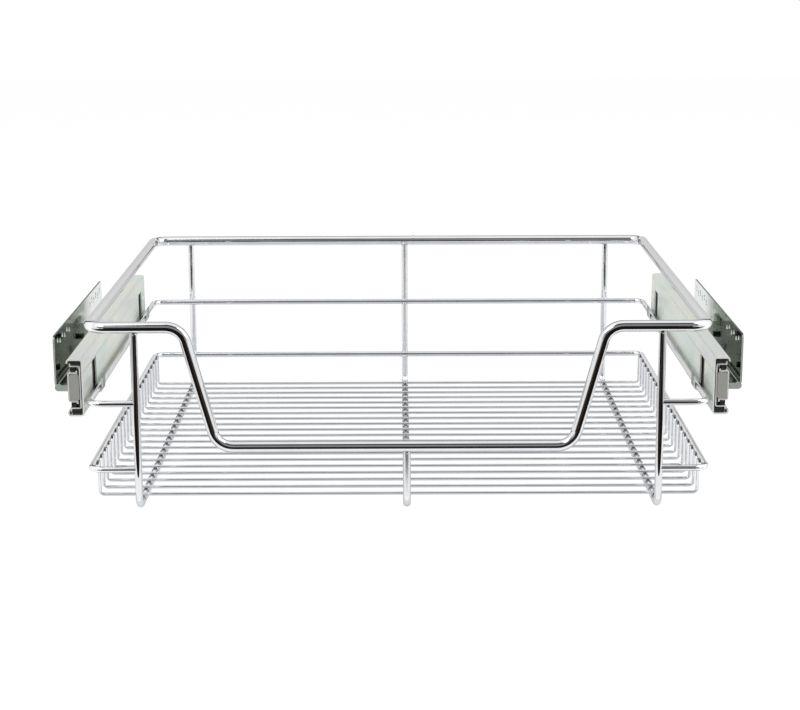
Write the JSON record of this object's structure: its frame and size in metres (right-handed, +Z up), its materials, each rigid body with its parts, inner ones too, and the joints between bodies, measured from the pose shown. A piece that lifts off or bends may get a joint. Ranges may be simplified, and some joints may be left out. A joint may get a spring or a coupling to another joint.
{
  "type": "pull out cabinet basket",
  "caption": "Chrome wire pull-out basket with a dipped front rail, hung between two ball-bearing slides on wall brackets.",
  "frame": {"origin": "middle of the whole part in plan, level with the underside of the base wires", "axes": "+Z up, the dipped front rail faces -Y, +X to the right seen from the front; the basket pulls out along -Y"},
  "size_m": [0.564, 0.4044, 0.152],
  "materials": {
    "chrome_wire": "polished",
    "slide_zinc": "bright zinc",
    "bracket_zinc": "mirror zinc",
    "cage_steel": "satin",
    "grey_plastic": "satin",
    "ball_steel": "polished",
    "fastener_zinc": "dark zinc"
  },
  "bodies": {
    "cabinet_side": {"left_wall_bracket": "bracket_zinc", "left_foot_angle": "bracket_zinc", "left_adjusting_screws": "fastener_zinc", "left_adjusting_nuts": "fastener_zinc", "left_slide_rivets": "fastener_zinc", "left_cabinet_member": "slide_zinc", "left_stop_block": "grey_plastic", "right_wall_bracket": "bracket_zinc", "right_foot_angle": "bracket_zinc", "right_adjusting_screws": "fastener_zinc", "right_adjusting_nuts": "fastener_zinc", "right_slide_rivets": "fastener_zinc", "right_cabinet_member": "slide_zinc", "right_stop_block": "grey_plastic"},
    "basket": {"top_rail": "chrome_wire", "runner_wire": "chrome_wire", "tray_rim": "chrome_wire", "left_base_wire": "chrome_wire", "centre_base_wire": "chrome_wire", "right_base_wire": "chrome_wire", "floor_wires": "chrome_wire", "left_drawer_member": "slide_zinc", "left_wire_hooks": "slide_zinc", "right_drawer_member": "slide_zinc", "right_wire_hooks": "slide_zinc"},
    "left_intermediate": {"left_intermediate_member": "slide_zinc"},
    "left_outer_cage": {"left_outer_ball_cage": "cage_steel", "left_outer_balls": "ball_steel"},
    "left_inner_cage": {"left_inner_ball_cage": "cage_steel", "left_inner_balls": "ball_steel"},
    "right_intermediate": {"right_intermediate_member": "slide_zinc"},
    "right_outer_cage": {"right_outer_ball_cage": "cage_steel", "right_outer_balls": "ball_steel"},
    "right_inner_cage": {"right_inner_ball_cage": "cage_steel", "right_inner_balls": "ball_steel"}
  },
  "joints": [
    {"name": "basket_slide", "type": "slide", "parent": "cabinet_side", "child": "basket", "axis": [0, -1, 0], "range_m": [0, 0.35]},
    {"name": "left_intermediate_slide", "type": "slide", "parent": "cabinet_side", "child": "left_intermediate", "axis": [0, -1, 0], "range_m": [0, 0.175]},
    {"name": "left_outer_cage_slide", "type": "slide", "parent": "cabinet_side", "child": "left_outer_cage", "axis": [0, -1, 0], "range_m": [0, 0.2625]},
    {"name": "left_inner_cage_slide", "type": "slide", "parent": "cabinet_side", "child": "left_inner_cage", "axis": [0, -1, 0], "range_m": [0, 0.0875]},
    {"name": "right_intermediate_slide", "type": "slide", "parent": "cabinet_side", "child": "right_intermediate", "axis": [0, -1, 0], "range_m": [0, 0.175]},
    {"name": "right_outer_cage_slide", "type": "slide", "parent": "cabinet_side", "child": "right_outer_cage", "axis": [0, -1, 0], "range_m": [0, 0.2625]},
    {"name": "right_inner_cage_slide", "type": "slide", "parent": "cabinet_side", "child": "right_inner_cage", "axis": [0, -1, 0], "range_m": [0, 0.0875]}
  ],
  "couplings": [
    {"joint": "left_intermediate_slide", "follows": "basket_slide", "ratio": 0.5},
    {"joint": "left_outer_cage_slide", "follows": "basket_slide", "ratio": 0.75},
    {"joint": "left_inner_cage_slide", "follows": "basket_slide", "ratio": 0.25},
    {"joint": "right_intermediate_slide", "follows": "basket_slide", "ratio": 0.5},
    {"joint": "right_outer_cage_slide", "follows": "basket_slide", "ratio": 0.75},
    {"joint": "right_inner_cage_slide", "follows": "basket_slide", "ratio": 0.25}
  ]
}
